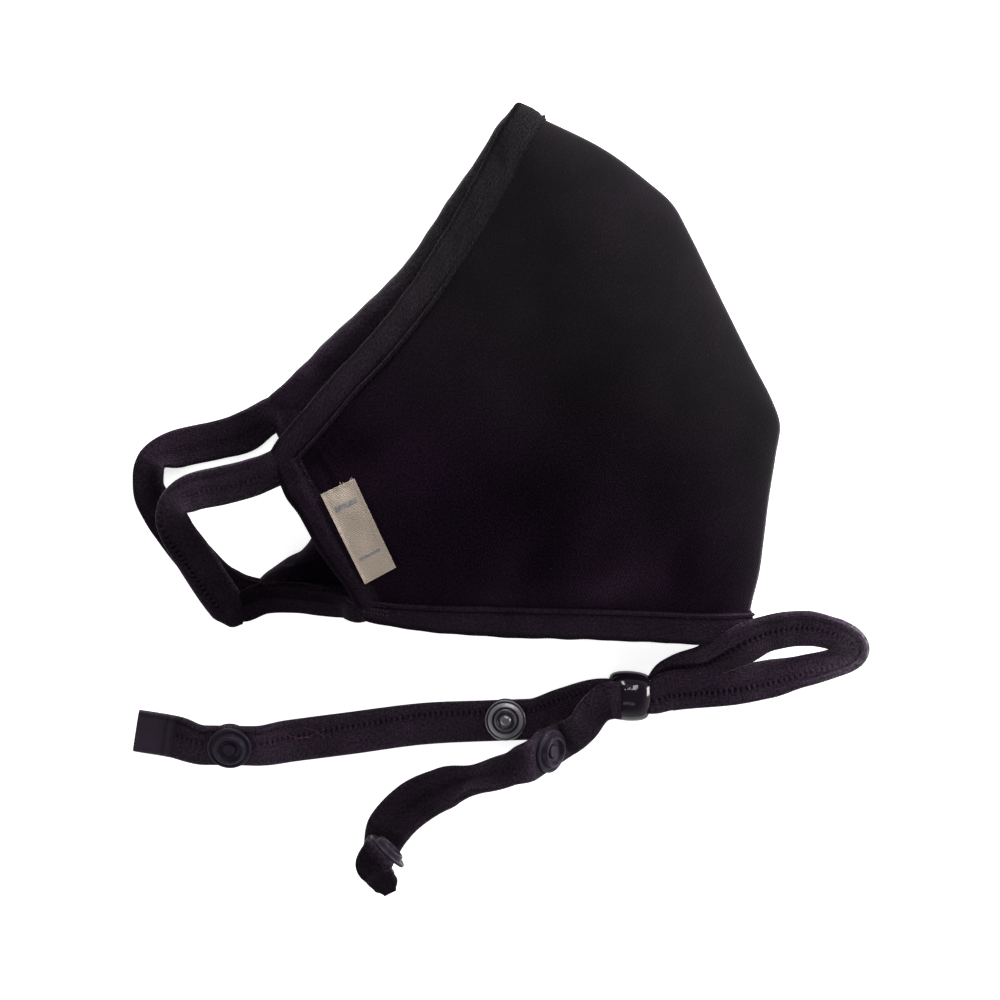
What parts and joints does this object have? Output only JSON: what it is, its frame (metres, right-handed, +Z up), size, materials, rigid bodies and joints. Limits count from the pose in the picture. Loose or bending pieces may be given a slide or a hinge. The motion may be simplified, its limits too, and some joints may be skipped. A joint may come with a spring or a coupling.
{
  "type": "respirator mask",
  "caption": "Reusable cloth face mask lying on its side: domed stitched halves, knit edge bindings and ear loops, and a loose elastic head strap with toggle and press studs.",
  "frame": {"origin": "centre of the footprint of the whole object, on the surface it lies on", "axes": "+X from the open ear side to the front ridge, +Y from the chin to the nose, +Z up from the surface the mask lies on"},
  "size_m": [0.204, 0.2179, 0.0347],
  "materials": {
    "panel_cloth": "fine ribbed matte cotton, near black with a violet tint",
    "binding_knit": "matte jersey knit with a stitched line along its inner edge",
    "elastic_knit": "matte knit-covered elastic with a chain stitch along it",
    "satin_tape": "smooth satin tape",
    "woven_label": "woven beige cotton tape",
    "toggle_plastic": "glossy black",
    "snap_plastic": "satin black"
  },
  "bodies": {
    "root": {"near_panel": "panel_cloth", "far_panel": "panel_cloth", "side_binding_near": "binding_knit", "side_binding_far": "binding_knit", "top_binding": "binding_knit", "bottom_binding": "binding_knit", "ear_loop_near": "elastic_knit", "ear_loop_far": "elastic_knit", "head_strap": "elastic_knit", "strap_end_tab": "satin_tape", "label": "woven_label", "toggle": "toggle_plastic", "snap_face_1": "snap_plastic", "snap_cap_1": "snap_plastic", "snap_face_2": "snap_plastic", "snap_cap_2": "snap_plastic", "snap_face_3": "snap_plastic", "snap_cap_3": "snap_plastic", "snap_face_4": "snap_plastic", "snap_cap_4": "snap_plastic"}
  },
  "joints": []
}
